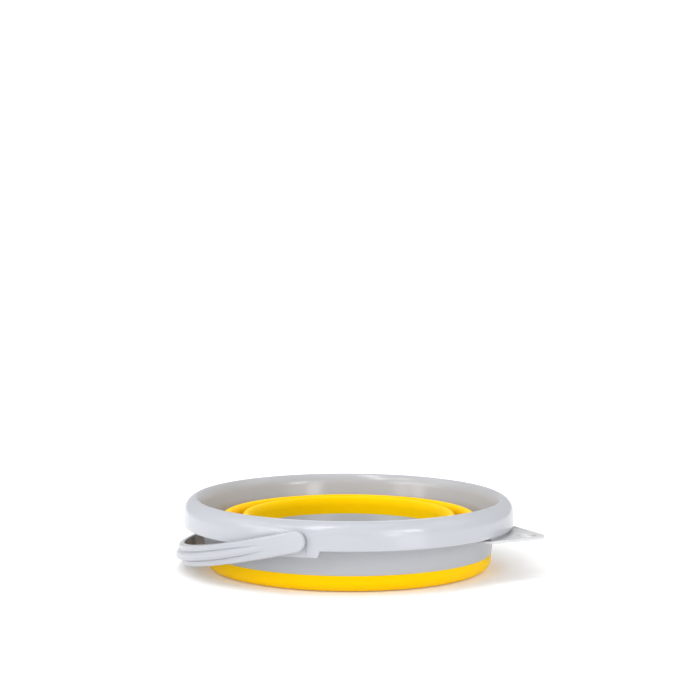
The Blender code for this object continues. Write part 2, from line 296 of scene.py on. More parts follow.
def moulded_plastic(name, colour, rough, ripple=1.0, grain=1.0, tone=0.02, spec=0.5):
    """Injection-moulded plastic: faint flow shading, slow ripples, fine skin texture and a few hairline scuffs."""
    m, nt, b = nodes_of(name)
    c = nt.nodes.new("ShaderNodeTexCoord").outputs["Object"]
    flow = noise(nt, c, 9.0, 2.0, 0.5, 0.4)
    light = tuple(min(1.0, v * (1 + tone)) for v in colour)
    dark = tuple(v * (1 - tone) for v in colour)
    nt.links.new(mixed(nt, ranged(nt, flow, 0, 1, 0.3, 0.7), dark, light), b.inputs["Base Color"])
    # hairline scuffs: stretched noise, rare and shallow
    stretch = nt.nodes.new("ShaderNodeMapping")
    stretch.inputs["Scale"].default_value = (1.0, 1.0, 9.0)
    stretch.inputs["Rotation"].default_value = (0.15, 0.1, 0.4)
    nt.links.new(c, stretch.inputs["Vector"])
    scuff = noise(nt, stretch.outputs["Vector"], 160.0, 4.0, 0.65, 0.6)
    scuff = ranged(nt, scuff, 0.0, 1.0, 0.60, 0.85)
    patch = ranged(nt, noise(nt, c, 35.0, 3.0, 0.6), rough * 0.88, rough * 1.14, 0.3, 0.7)
    r = math_node(nt, "ADD", patch, math_node(nt, "MULTIPLY", scuff, 0.04))
    nt.links.new(r, b.inputs["Roughness"])
    slow = noise(nt, c, 28.0, 2.0, 0.45)
    fine = noise(nt, c, 1500.0, 3.0, 0.6)
    n1 = bumped(nt, slow, 0.0006 * ripple, 0.35)
    n2 = bumped(nt, fine, 0.00003 * grain, 0.35, n1)
    nt.links.new(n2, b.inputs["Normal"])
    b.inputs["Specular IOR Level"].default_value = spec
    b.inputs["IOR"].default_value = 1.49
    return m


def soft_rubber(name, colour, deep, rough):
    """Thermoplastic rubber: satin skin with a fine even matt texture and slow tone changes."""
    m, nt, b = nodes_of(name)
    c = nt.nodes.new("ShaderNodeTexCoord").outputs["Object"]
    flow = noise(nt, c, 14.0, 3.0, 0.55, 0.3)
    nt.links.new(mixed(nt, ranged(nt, flow, 0, 1, 0.25, 0.75), deep, colour), b.inputs["Base Color"])
    nt.links.new(ranged(nt, noise(nt, c, 60.0, 4.0, 0.6), rough * 0.9, rough * 1.12, 0.3, 0.7), b.inputs["Roughness"])
    n1 = bumped(nt, noise(nt, c, 40.0, 2.0, 0.5), 0.0005, 0.3)
    n2 = bumped(nt, noise(nt, c, 1100.0, 2.0, 0.6), 0.00005, 0.4, n1)
    nt.links.new(n2, b.inputs["Normal"])
    b.inputs["Specular IOR Level"].default_value = 0.22
    b.inputs["Specular Tint"].default_value = (1.0, 0.80, 0.12, 1.0)
    b.inputs["IOR"].default_value = 1.47
    b.inputs["Subsurface Weight"].default_value = 0.50
    b.inputs["Subsurface Radius"].default_value = (0.6, 0.5, 0.08)
    b.inputs["Subsurface Scale"].default_value = 0.0045
    return m


def painted_shade_and_satin_below(m, z_top, r_max, tone, rough_gain):
    """Makes the part of a moulding below z_top and inside r_max, in metres, a little darker as painted shade from the
    overhang above it, and less glossy.
    """
    nt = m.node_tree
    b = nt.nodes["Principled BSDF"]
    sep = nt.nodes.new("ShaderNodeSeparateXYZ")
    c = nt.nodes.new("ShaderNodeTexCoord").outputs["Object"]
    nt.links.new(c, sep.inputs["Vector"])
    flat = nt.nodes.new("ShaderNodeCombineXYZ")
    nt.links.new(sep.outputs["X"], flat.inputs["X"])
    nt.links.new(sep.outputs["Y"], flat.inputs["Y"])
    far = nt.nodes.new("ShaderNodeVectorMath")
    far.operation = "LENGTH"
    nt.links.new(flat.outputs["Vector"], far.inputs[0])
    low = ranged(nt, sep.outputs["Z"], 1.0, 0.0, z_top - 0.004, z_top)
    near = ranged(nt, far.outputs["Value"], 1.0, 0.0, r_max - 0.001, r_max)
    share = math_node(nt, "MULTIPLY", low, near)
    old = b.inputs["Base Color"].links[0].from_socket
    mix = nt.nodes.new("ShaderNodeMix")
    mix.data_type = "RGBA"
    mix.blend_type = "MULTIPLY"
    nt.links.new(share, mix.inputs["Factor"])
    nt.links.new(old, mix.inputs["A"])
    # the colour is multiplied by tone there as painted shade
    mix.inputs["B"].default_value = (tone, tone, tone, 1.0)
    nt.links.new(mix.outputs["Result"], b.inputs["Base Color"])
    rough = b.inputs["Roughness"].links[0].from_socket
    gain = math_node(nt, "ADD", math_node(nt, "MULTIPLY", share, rough_gain), rough)
    nt.links.new(gain, b.inputs["Roughness"])
    return m


# the collar's wall below the skirt carries painted shade, 6 % darker, and a slightly rougher skin
RIM_GREY = painted_shade_and_satin_below(moulded_plastic("rim_grey", (0.42, 0.436, 0.470), 0.155, ripple=0.8), 0.046, 0.152, 0.94, 0.14)
INNER_GREY = moulded_plastic("inner_grey", (0.38, 0.395, 0.415), 0.32, ripple=1.0)
HANDLE_GREY = moulded_plastic("handle_grey", (0.425, 0.438, 0.475), 0.24, ripple=0.6)
TAB_GREY = moulded_plastic("tab_grey", (0.575, 0.58, 0.592), 0.30, ripple=0.6)
PIN_GREY = moulded_plastic("pin_grey", (0.33, 0.34, 0.36), 0.36, ripple=0.4)
YELLOW = soft_rubber("yellow_rubber", (1.0, 0.58, 0.0), (1.0, 0.56, 0.0), 0.58)


def finish_piece(ob, material, body, slot, *nodes):
    ob.data.materials.clear()
    ob.data.materials.append(material)
    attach(ob, body)
    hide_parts(*nodes)
    return ob


# ------------------------------------------------------------------ rim collar with its two lugs
TONGUE = rounded([(0, LUG_BOTTOM, 0), (18.6, LUG_BOTTOM, 1.7), (20.6, SKIRT_BOTTOM, 1.3), (34, SKIRT_BOTTOM, 0)],
                 closed=False, step=6.0)
EDGE = 1.05                 # rounding of the skirt's lower edge


def tongue_at(x):
    """Height of the lower edge and its outward normal at a distance x from the middle of a lug."""
    tx = np.array([p[0] for p in TONGUE])
    tz = np.array([p[1] for p in TONGUE])
    ax = np.abs(x)
    z = np.interp(ax, tx, tz)
    e = 0.05
    slope = (np.interp(ax + e, tx, tz) - np.interp(ax - e, tx, tz)) / (2 * e) * np.sign(x)
    n = np.hypot(slope, 1.0)
    return z, slope / n, -1.0 / n


def collar_profile():
    """Closed outline of the collar: (r, z, pad share, drop) where drop is the distance up from the lower edge."""
    k = SHOULDER_R
    t2 = SKIRT_T
    pts = []

    def add(r, z, pad, drop):
        pts.append((r, z, pad, drop))

    # lower edge, outside rounding, from the middle of the edge outwards and up
    for i in range(0, 7):
        a = math.radians(90 * i / 6)
        add(RIM_R - EDGE + EDGE * math.sin(a), SKIRT_BOTTOM + EDGE * (1 - math.cos(a)), 1.0, EDGE * (1 - math.cos(a)))
    for z in np.linspace(SKIRT_BOTTOM + EDGE, SHOULDER_Z, 15)[1:]:
        add(RIM_R, z, 1.0, z - SKIRT_BOTTOM)
    # shoulder over to the lip
    top = superarc(k, SHOULDER_Z, RIM_R - k, RIM_TOP - SHOULDER_Z + 0.45, 0, 84, 32, 2.15)
    for r, z in top[1:]:
        if r > 150.5:
            add(r, z, float(1 - smoothstep((z - 55.0) / 7.5)), z - SKIRT_BOTTOM)
    lip = smooth_line([(150.2, 70.03), (149.5, 69.98), (148.8, 69.55), (148.0, 68.75), (147.0, 67.5), (146.1, 66.1),
                       (145.3, 64.6), (144.6, 62.9), (144.0, 61.0), (143.5, 58.6), (143.0, 56.0)], 4)
    for r, z in lip:
        add(r, z, 0.0, 99)
    inner = smooth_line([(143.0, 56.0), (142.5, 53.2), (141.85, 49.5), (140.7, 41.0), (139.2, 27.5), (137.75, 17.2)], 4)
    for r, z in inner[1:]:
        add(r, z, 0.0, 99)
    foot = rounded([(137.75, 17.2, 0), (137.6, COLLAR_BOTTOM + 0.03, 0.25), (139.8, COLLAR_BOTTOM + 0.03, 0.10),
                    (140.0, 18.5, 0)], closed=False)
    for r, z in foot[1:-1]:
        add(r, z, 0.0, 99)
    outer = smooth_line([(140.03, 18.2), (141.2, 28.0), (142.4, 38.0), (143.6, 48.0), (144.6, 55.5), (145.6, 59.5),
                         (146.7, 62.2), (148.2, 64.6), (150.0, 66.3)], 4)
    for r, z in outer:
        add(r, z, 0.0, 99)
    under = superarc(k, SHOULDER_Z, RIM_R - k - t2, RIM_TOP - SHOULDER_Z - 2.2, 0, 74, 14, 2.15)[::-1]
    for r, z in under:
        if r > 150.9:
            add(r, z, float(1 - smoothstep((z - 55.0) / 7.5)), z - SKIRT_BOTTOM)
    for z in np.linspace(SHOULDER_Z, SKIRT_BOTTOM + EDGE, 9)[1:]:
        add(RIM_R - t2, z, 1.0, z - SKIRT_BOTTOM)
    for i in range(1, 6):
        a = math.radians(90 * i / 6)
        add(RIM_R - t2 + EDGE * (1 - math.cos(a)), SKIRT_BOTTOM + EDGE * (1 - math.sin(a)), 1.0, EDGE * (1 - math.sin(a)))
    return np.array(pts)


def collar_columns():
    base = np.degrees(even(216))
    near = []
    for side in (-90.0, 90.0):
        for lo, hi, n in ((0, 5.6, 20), (5.6, 8.4, 48), (8.4, 14.0, 14)):
            for q in np.linspace(lo, hi, n, endpoint=False):
                near += [side + q, side - q]
    near = np.array(near) % 360.0
    keep = [b for b in base if min(abs((b - s + 180) % 360 - 180) for s in (90.0, 270.0)) > 14.2]
    return np.radians(np.unique(np.round(np.concatenate([keep, near]), 5)))


def build_collar():
    prof = collar_profile()
    cols = collar_columns()
    pts = np.empty((len(cols), len(prof), 3))
    r0, z0, pad, drop = prof.T
    for i, t in enumerate(cols):
        side = math.radians(90.0) if math.sin(t) > 0 else math.radians(-90.0)
        d = (t - side + math.pi) % (2 * math.pi) - math.pi
        r, z, tt = r0.copy(), z0.copy(), np.full(len(prof), t)
        if abs(d) < math.radians(15):
            x = LUG_R * math.sin(d)
            zb, nx, nz = tongue_at(np.array(x))
            r = r0 + pad * (LUG_R - RIM_R) * float(1 - smoothstep((abs(x) - 13.0) / 18.0))
            share = 1 - smoothstep((drop - EDGE) / 9.0)
            share = np.where(drop > 50, 0.0, share)
            near = np.minimum(drop, EDGE) * (1 - smoothstep((drop - EDGE) / 4.0)) * (drop < 50)
            z = z0 + share * (float(zb) - SKIRT_BOTTOM) + near * (-float(nz) - 1.0)
            tt = t - near * float(nx) / LUG_R
        pts[i, :, 0] = r * np.cos(tt)
        pts[i, :, 1] = r * np.sin(tt)
        pts[i, :, 2] = z
    ob = add_object("rim_shell", tidy(grid_bmesh(pts)))
    for s, tag in ((-1, "f"), (1, "r")):
        # lead-in for the pin, from the lug's foot to a round end above the bore
        bm = bmesh.new()
        n, g = 24, 8.3
        loop = [(-g, LUG_BOTTOM - 3.0), (g, LUG_BOTTOM - 3.0)]
        loop += [(g * math.cos(math.pi * q / n), PIVOT_Z + g * math.sin(math.pi * q / n)) for q in range(n + 1)]
        lo = [bm.verts.new((x * MM, s * (LUG_R - 0.8) * MM, z * MM)) for x, z in loop]
        hi = [bm.verts.new((x * 1.06 * MM, s * (LUG_R + 6.0) * MM, z * MM)) for x, z in loop]
        for q in range(len(loop)):
            w = (q + 1) % len(loop)
            bm.faces.new((lo[q], lo[w], hi[w], hi[q]))
        bm.faces.new(lo[::-1])
        bm.faces.new(hi)
        bmesh.ops.recalc_face_normals(bm, faces=bm.faces)
        bool_apply(ob, add_object("groove_" + tag, bm), "DIFFERENCE")
        bool_apply(ob, rod("bore_" + tag, s * 151.0, s * 169.0, BORE_R, 0, PIVOT_Z), "DIFFERENCE")
    weld(ob)
    ob.data.shade_smooth()
    ob.data.set_sharp_from_angle(angle=math.radians(38))
    return finish_piece(ob, RIM_GREY, "rim", "rim_grey_plastic", "rim_collar")


# ------------------------------------------------------------------ soft bands
def upper_line():
    low = 0.65 + BAND_T / 2
    a = arc(129.8, low + 9.8, 8.85, 9.8, 0, -90, 22)
    b = arc(129.8, low + 5.0, 3.1, 5.0, -90, -180, 14)[1:]
    c = arc(121.2, 46.4, 3.95, 5.55, 0, 180, 28)
    return resample([(COLLAR_R_BOTTOM - 0.75, COLLAR_BOTTOM - 0.02)] + a + b + c + [(117.3, RING_TOP + 0.04)], 1.6)


def lower_line():
    low = 0.65 + BAND_T / 2
    turn = arc(109.3, low + 4.0, 4.0, 4.0, 0, -180, 26)
    crest = arc(100.7, 45.6, 3.9, 7.6, 0, 180, 28)
    return resample([(113.3, RING_BOTTOM - 0.04)] + turn + crest + [(97.1, CUP_TOP + 0.04)], 1.6)


def fold_shares(line, z_top, z_low, travel):
    """For each point of a folded band, how far it follows the upper body, so that the band opens to its own length."""
    p = np.array(line)
    d = np.diff(p, axis=0)
    ds = np.hypot(d[:, 0], d[:, 1])
    rise = np.sqrt(np.clip(1 - (d[:, 0] / ds) ** 2, 0.0, 1.0))
    rise = np.clip(rise, 0.42, 1.0)
    for _ in range(6):
        rise = np.convolve(np.pad(rise, 2, mode="edge"), np.array([1, 4, 6, 4, 1]) / 16, mode="valid")
    run = np.concatenate([[0], np.cumsum(rise * ds)])
    target = z_top - (z_top - z_low) * run / run[-1]
    w = np.clip((target - p[:, 1]) / travel, 0.0, 1.0)
    w[0], w[-1] = 1.0, 0.0
    return w


def band(name, line, w, columns):
    """Soft band of even thickness, as a closed turned skin; returns the object and a share per vertex."""
    p = np.array(line)
    t = np.gradient(p, axis=0)
    t /= np.hypot(t[:, 0], t[:, 1])[:, None]
    nrm = np.stack([-t[:, 1], t[:, 0]], axis=1)
    a = p + nrm * BAND_T / 2
    b = p - nrm * BAND_T / 2
    loop = np.concatenate([a, b[::-1]])
    ww = np.concatenate([w, w[::-1]])
    k = len(loop)
    pts = np.empty((len(columns), k, 3))
    pts[:, :, 0] = np.cos(columns)[:, None] * loop[None, :, 0]
    pts[:, :, 1] = np.sin(columns)[:, None] * loop[None, :, 0]
    pts[:, :, 2] = loop[None, :, 1]
    bm = grid_bmesh(pts)
    bmesh.ops.recalc_face_normals(bm, faces=bm.faces)
    ob = add_object(name, bm, sharp=50)
    return ob, np.tile(ww, len(columns))


def build_band(name, line, z_top, z_low, travel, node):
    w = fold_shares(line, z_top, z_low, travel)
    ob, share = band(name, line, w, even(200))
    ob.data.materials.append(YELLOW)
    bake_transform(ob)
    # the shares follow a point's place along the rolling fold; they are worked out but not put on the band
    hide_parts(node)
    return ob


# ------------------------------------------------------------------ rings that are plain turnings
def build_middle_ring():
    o = rounded([(118.3, RING_TOP, 0.25), (116.3, RING_TOP, 0.25), (112.3, RING_BOTTOM, 0.25), (114.3, RING_BOTTOM, 0.25),
                 (114.55, RING_BOTTOM + 1.9, 0.5), (114.75, RING_BOTTOM + 2.3, 0.5), (117.75, RING_TOP - 2.3, 0.5),
                 (118.05, RING_TOP - 1.9, 0.5)], step=15)
    ob = add_object("middle_ring_shell", turned(o, even(200)), sharp=50)
    return finish_piece(ob, INNER_GREY, "middle", "inner_grey_plastic", "middle_ring")


def build_cup():
    o = [(0, 0.0, 0), (1.6, 0.0, 0.3), (2.1, 0.35, 0.2), (4.2, 0.35, 0.2), (4.7, 0.0, 0.3),
         (14, 0.0, 0.4), (15, 0.9, 0.4), (39.4, 0.9, 0.3), (39.9, 0.5, 0.3), (41.1, 0.5, 0.3), (41.6, 0.9, 0.3),
         (75, 0.9, 0.4), (76, 0.0, 0.4), (84.0, 0.0, 3.0), (88.2, 1.2, 4.0), (90.9, 3.8, 4.0), (92.0, 8.0, 6.0),
         (97.65, CUP_TOP - 2.2, 0.5), (98.05, CUP_TOP - 1.8, 0.5), (98.1, CUP_TOP, 0.3), (96.1, CUP_TOP, 0.3),
         (89.8, 8.6, 6.0), (88.4, 5.2, 4.0), (85.6, 3.6, 3.0), (81.0, 3.1, 3.0),
         (66.6, 3.1, 0.6), (66.0, 3.55, 0.5), (64.4, 3.55, 0.5), (63.8, 3.1, 0.6),
         (34.6, 3.1, 0.6), (34.0, 3.55, 0.5), (32.4, 3.55, 0.5), (31.8, 3.1, 0.6), (0, 3.1, 0)]
    line = rounded(o, closed=False, step=12)
    ob = add_object("cup_shell", turned(line, even(200), closed=False), sharp=60)
    return finish_piece(ob, INNER_GREY, "base", "inner_grey_plastic", "base_cup")


# ------------------------------------------------------------------ handle
HINGE = Matrix.Translation((0, 0, PIVOT_Z * MM)) @ Matrix.Rotation(math.radians(-HANDLE_REST), 4, "Y")


def on_arc(u, v, rho):
    """Point of the level handle: u mm along it from the front pivot, v above the hinge line, rho from the Z axis."""
    th = u / HANDLE_R
    return (-rho * math.sin(th), -rho * math.cos(th), v)


def strip_stations(half):
    """(u, half width, du, dv) along a strip with round ends: place, half width and edge normal there."""
    start, end = END_INSET, math.pi * HANDLE_R - END_INSET
    out = []
    for i in range(16):
        a = math.radians(90 * (i / 16))
        out.append((start - half * math.cos(a), half * math.sin(a), -math.cos(a), math.sin(a)))
    for i in range(0, 221):
        out.append((start + (end - start) * i / 220, half, 0.0, 1.0))
    for i in range(16)[::-1]:
        a = math.radians(90 * (i / 16))
        out.append((end + half * math.cos(a), half * math.sin(a), math.cos(a), math.sin(a)))
    return out


def ridge_section(u, w):
    """Points across the outer face: (v, extra radius). A round bead that sinks to a blunt point before each pivot."""
    t = math.degrees(min(u, math.pi * HANDLE_R - u) / HANDLE_R) - 11.6
    k = min(1.0, max(0.0, t) / 19.4)
    half = RIDGE_W / 2 * (k ** 0.2 if k > 0 else 0.0)
    high = RIDGE_H * math.sin(math.pi / 2 * min(1.0, max(0.0, t) / 43.4)) ** 0.8
    half = max(half, 0.25)
    foot = min(half + 0.9, 0.93 * w)
    half = max(min(half, foot * 0.84), 1e-4)
    bead = np.sin(np.linspace(0.0, math.pi / 2, 15)) * foot
    land = np.array([w, w * 0.72 + foot * 0.28, w * 0.4 + foot * 0.6, w * 0.15 + foot * 0.85])
    vs = np.concatenate([-land, -bead[::-1], bead[1:], land[::-1]])
    a = np.abs(vs)
    crown = np.clip(1 - (a / half) ** 2.3, 0.0, 1.0) ** (1 / 2.3) * high
    # crease where the bead meets the flat lands
    crease = -0.55 * min(1.0, high / 1.5) * np.exp(-((a - half - 0.35) / 0.42) ** 2) * (a >= half)
    side = np.clip((a - foot) / max(1e-6, w - foot), 0, 1)
    hollow = -0.18 * min(1.0, high) * np.sin(math.pi * side) if w > foot else 0.0
    return vs, crown + crease + hollow


def build_handle():
    f = 1.9
    h = HANDLE_W / 2
    outer = strip_stations(h - f)
    inner = strip_stations(h - HANDLE_WALL)
    bm = bmesh.new()
    R = HANDLE_R

    def vert(u, v, rho):
        x, y, z = on_arc(u, v, rho)
        return bm.verts.new((x * MM, y * MM, z * MM))

    rows = []
    for (u, w, du, dv), (ui, wi, _, _) in zip(outer, inner):
        vs, up = ridge_section(u, w)
        face = [vert(u, float(v), R + float(e)) for v, e in zip(vs, up)]
        top, bottom = [], []
        for q in range(1, 10):
            a = math.radians(90 * q / 9)
            du_, dv_, rho = du * f * math.sin(a), dv * f * math.sin(a), R - f * (1 - math.cos(a))
            top.append(vert(u + du_, w + dv_, rho))
            bottom.append(vert(u + du_, -w - dv_, rho))
        edge = 0.5
        low = R - HANDLE_DEPTH
        for q in range(0, 5):
            a = math.radians(90 * q / 4)
            g = edge * (1 - math.cos(a))
            top.append(vert(u + du * (f - g), w + dv * (f - g), low + edge * (1 - math.sin(a))))
            bottom.append(vert(u + du * (f - g), -w - dv * (f - g), low + edge * (1 - math.sin(a))))
        for q in range(0, 5):
            a = math.radians(90 * q / 4)
            g = edge * (1 - math.sin(a))
            zz = low + edge * (1 - math.cos(a))
            top.append(vert(ui + du * g, wi + dv * g, zz))
            bottom.append(vert(ui + du * g, -wi - dv * g, zz))
        r2 = 0.9
        for q in range(0, 5):
            a = math.radians(90 * q / 4)
            g = r2 * (1 - math.cos(a))
            zz = R - HANDLE_SKIN - r2 * (1 - math.sin(a))
            top.append(vert(ui - du * g, wi - dv * g, zz))
            bottom.append(vert(ui - du * g, -wi + dv * g, zz))
        floor_vs = np.linspace(1, -1, 9)[1:-1] * max(0.0, wi - dv * r2)
        base = [vert(ui - du * r2, float(v), R - HANDLE_SKIN) for v in floor_vs]
        rows.append(face + top + base + bottom[::-1])
    for a, b in zip(rows[:-1], rows[1:]):
        n = len(a)
        for j in range(n):
            m = (j + 1) % n
            bm.faces.new((a[j], b[j], b[m], a[m]))
    tidy(bm, 3e-6)
    ob = add_object("handle_shell", bm)
    # thin ribs across the channel, and the bosses that take the pins
    half_in = h - HANDLE_WALL + 0.9
    for n, deg in enumerate((9, 36, 63, 90, 117, 144, 171)):
        rb = bmesh.new()
        u0 = math.radians(deg) * R
        loop = []
        for du2 in (-0.8, 0.8):
            loop.append([rb.verts.new([c * MM for c in on_arc(u0 + du2, v, rho)]) for v, rho in
                         ((-half_in, R - HANDLE_SKIN + 1.0), (half_in, R - HANDLE_SKIN + 1.0),
                          (half_in, R - HANDLE_DEPTH + 0.9), (half_in - 2.2, R - HANDLE_DEPTH + 0.5),
                          (-half_in + 2.2, R - HANDLE_DEPTH + 0.5), (-half_in, R - HANDLE_DEPTH + 0.9))])
        a, b = loop
        for j in range(6):
            m = (j + 1) % 6
            rb.faces.new((a[j], b[j], b[m], a[m]))
        rb.faces.new(a[::-1])
        rb.faces.new(b)
        bmesh.ops.recalc_face_normals(rb, faces=rb.faces)
        bool_apply(ob, add_object("rib_%d" % n, rb), "UNION")
    for s, tag in ((-1, "f"), (1, "r")):
        bool_apply(ob, rod("boss_" + tag, s * (LUG_R + 0.7), s * (R - 0.8), BOSS_R, 0, 0), "UNION")
        bool_apply(ob, rod("bore_" + tag, s * (LUG_R - 4.0), s * (R - 1.8), BORE_R, 0, 0), "DIFFERENCE")
    weld(ob)
    ob.data.transform(HINGE)
    ob.data.shade_smooth()
    ob.data.set_sharp_from_angle(angle=math.radians(40))
    return finish_piece(ob, HANDLE_GREY, "handle", "handle_grey_plastic", "carry_handle")


def build_pin(side, tag):
    """Headed stud: domed head behind the lug, shank through it and into the handle's boss."""
    o = rounded([(0, 155.65, 0), (2.6, 155.7, 1.5), (5.0, 156.2, 0.5), (5.0, 158.3, 0.35), (3.0, 158.3, 0.2),
                 (3.0, 166.5, 0.45), (0, 166.5, 0)], closed=False, step=15)
    bm = turned(o, even(48), closed=False)
    bm.transform(Matrix.Rotation(math.radians(-90) * side, 4, "X"))
    bmesh.ops.recalc_face_normals(bm, faces=bm.faces)
    ob = add_object("pin_%s_stud" % tag, bm, sharp=40)
    ob.data.transform(HINGE)
    return finish_piece(ob, PIN_GREY, "handle", "pin_grey_plastic", "pivot_pin_" + tag)


# ------------------------------------------------------------------ hanging tab
def tab_outline():
    half = [(TAB_TIP_X + TAB_TIP_R * math.cos(math.radians(a)), TAB_TIP_R * math.sin(math.radians(a)))
            for a in np.linspace(0, 46, 16)]
    corner = rounded([(191.4, 10.8, 0), (156.6, 46.6, 3.2), (149.2, 47.1, 1.2), (138.9, 44.0, 0)], closed=False, step=10)[1:-1]
    a_end = math.atan2(45.0, 144.0)
    root = [(146.4 * math.cos(a_end * (1 - i / 24)), 146.4 * math.sin(a_end * (1 - i / 24))) for i in range(25)]
    upper = half + resample([half[-1]] + [corner[0]], 3.0)[1:] + corner[1:] + root
    lower = [(x, -y) for x, y in upper[::-1]]
    loop = upper + lower[1:-1]
    out = [loop[0]]
    for p in loop[1:]:
        if math.dist(p, out[-1]) > 0.05:
            out.append(p)
    return out


def inset(loop, d):
    """Loop moved inwards by d along its vertex normals (counter-clockwise loop)."""
    p = np.array(loop)
    a = np.roll(p, 1, axis=0)
    b = np.roll(p, -1, axis=0)
    e1 = p - a
    e2 = b - p
    e1 /= np.hypot(e1[:, 0], e1[:, 1])[:, None]
    e2 /= np.hypot(e2[:, 0], e2[:, 1])[:, None]
    n1 = np.stack([-e1[:, 1], e1[:, 0]], axis=1)
    n2 = np.stack([-e2[:, 1], e2[:, 0]], axis=1)
    n = n1 + n2
    length = np.hypot(n[:, 0], n[:, 1])[:, None]
    n /= length
    scale = 1.0 / np.clip((n * n1).sum(axis=1), 0.5, 1.0)[:, None]
    return p + n * d * scale


def build_tab():
    top, low = TAB_TOP, TAB_TOP - TAB_T
    loop = tab_outline()
    f = 0.55
    levels = [(0.9, low)]
    for q in range(0, 6):
        a = math.radians(90 * q / 5)
        levels.append((f * (1 - math.sin(a)), low + f * (1 - math.cos(a))))
    for q in range(0, 6):
        a = math.radians(90 * q / 5)
        levels.append((f * (1 - math.cos(a)), top - f + f * math.sin(a)))
    bm = bmesh.new()
    rings = []
    for d, z in levels:
        pts = inset(loop, d) if d > 1e-6 else np.array(loop)
        rings.append([bm.verts.new((x * MM, y * MM, z * MM)) for x, y in pts])
    for a, b in zip(rings[:-1], rings[1:]):
        n = len(a)
        for i in range(n):
            j = (i + 1) % n
            bm.faces.new((a[i], a[j], b[j], b[i]))
    bm.faces.new(rings[0][::-1])
    bm.faces.new(rings[-1])
    bmesh.ops.recalc_face_normals(bm, faces=bm.faces)
    ob = add_object("tab_plate", bm)
    # the plate's field lies a little below its border
    field = rounded([(189.9, 0, 0), (189.0, 8.4, 7.0), (157.3, 41.0, 2.5), (151.0, 42.6, 1.5), (148.8, 30.0, 0), (151.0, 0, 0)],
                    closed=False, step=10)
    field = field + [(x, -y) for x, y in field[::-1]][1:-1]
    fb = bmesh.new()
    rows = []
    for d, z in ((0.75, top - 0.4), (0.35, top - 0.34), (0.1, top - 0.06), (0.0, top), (-0.05, top + 1.0)):
        rows.append([fb.verts.new((x * MM, y * MM, z * MM)) for x, y in inset(field, d)])
    for a, b in zip(rows[:-1], rows[1:]):
        n = len(a)
        for i in range(n):
            j = (i + 1) % n
            fb.faces.new((a[i], a[j], b[j], b[i]))
    fb.faces.new(rows[0][::-1])
    fb.faces.new(rows[-1])
    bmesh.ops.recalc_face_normals(fb, faces=fb.faces)
    bool_apply(ob, add_object("tab_field", fb), "DIFFERENCE")
    # raised collar round the hole, then the hole with rounded rims
    r, cx = TAB_HOLE_R, TAB_HOLE_X
    ring = rounded([(r - 1.0, low + 0.8, 0), (r + 2.6, low + 0.8, 0), (r + 2.6, top - 0.35, 0), (r + 2.2, top + 0.02, 0.25),
                    (r - 1.0, top + 0.02, 0)], step=15)
    rb = turned(ring, even(64))
    rb.transform(Matrix.Translation((cx * MM, 0, 0)))
    bool_apply(ob, add_object("tab_eye", rb), "UNION")
    spool = [(0, low - 3, 0), (r + 2.0, low - 3, 0), (r + 2.0, low - 0.02, 0)]
    spool += [(r + 0.5 - 0.5 * math.sin(math.radians(a)), low - 0.02 + 0.5 - 0.5 * math.cos(math.radians(a)), 0)
              for a in (0, 30, 60, 90)]
    spool += [(r + 0.5 - 0.5 * math.cos(math.radians(a)), top + 0.04 - 0.5 + 0.5 * math.sin(math.radians(a)), 0)
              for a in (0, 30, 60, 90)]
    spool += [(r + 2.0, top + 0.04, 0), (r + 2.0, top + 3, 0), (0, top + 3, 0)]
    sb = turned([(a, b) for a, b, _ in spool], even(64), closed=False)
    sb.transform(Matrix.Translation((cx * MM, 0, 0)))
    bool_apply(ob, add_object("tab_spool", sb), "DIFFERENCE")
    # upstand that clips the plate inside the skirt
    up = bmesh.new()
    rows = []
    for i in range(29):
        a = math.radians(-14 + i)
        rows.append([up.verts.new((r2 * math.cos(a) * MM, r2 * math.sin(a) * MM, z * MM)) for r2, z in
                     ((155.4, top - 1.0), (157.8, top - 1.0), (157.8, 52.6), (157.4, 53.0), (155.8, 53.0), (155.4, 52.6))])
    for a, b in zip(rows[:-1], rows[1:]):
        for j in range(6):
            m = (j + 1) % 6
            up.faces.new((a[j], b[j], b[m], a[m]))
    up.faces.new(rows[0])
    up.faces.new(rows[-1][::-1])
    bmesh.ops.recalc_face_normals(up, faces=up.faces)
    bool_apply(ob, add_object("tab_upstand", up), "UNION")
    weld(ob)
    ob.data.shade_smooth()
    ob.data.set_sharp_from_angle(angle=math.radians(32))
    return finish_piece(ob, TAB_GREY, "rim", "tab_grey_plastic", "hang_tab")


# ------------------------------------------------------------------ build
build_cup()
build_band("lower_band_skin", lower_line(), RING_BOTTOM - 0.04 + LOWER_TRAVEL, CUP_TOP + 0.04, LOWER_TRAVEL,
           "lower_band")
build_middle_ring()
build_band("upper_band_skin", upper_line(), COLLAR_BOTTOM - 0.02 + UPPER_TRAVEL, RING_TOP + 0.04, UPPER_TRAVEL,
           "upper_band")
build_collar()
build_handle()
build_pin(-1, "front")
build_pin(1, "rear")
build_tab()

# ------------------------------------------------------------------ camera at the photograph's place
AZ = math.radians(16.8)
RIGHT = Vector((math.cos(AZ), math.sin(AZ), 0))
NEAR = Vector((math.sin(AZ), -math.cos(AZ), 0))
UP = Vector((0, 0, 1))

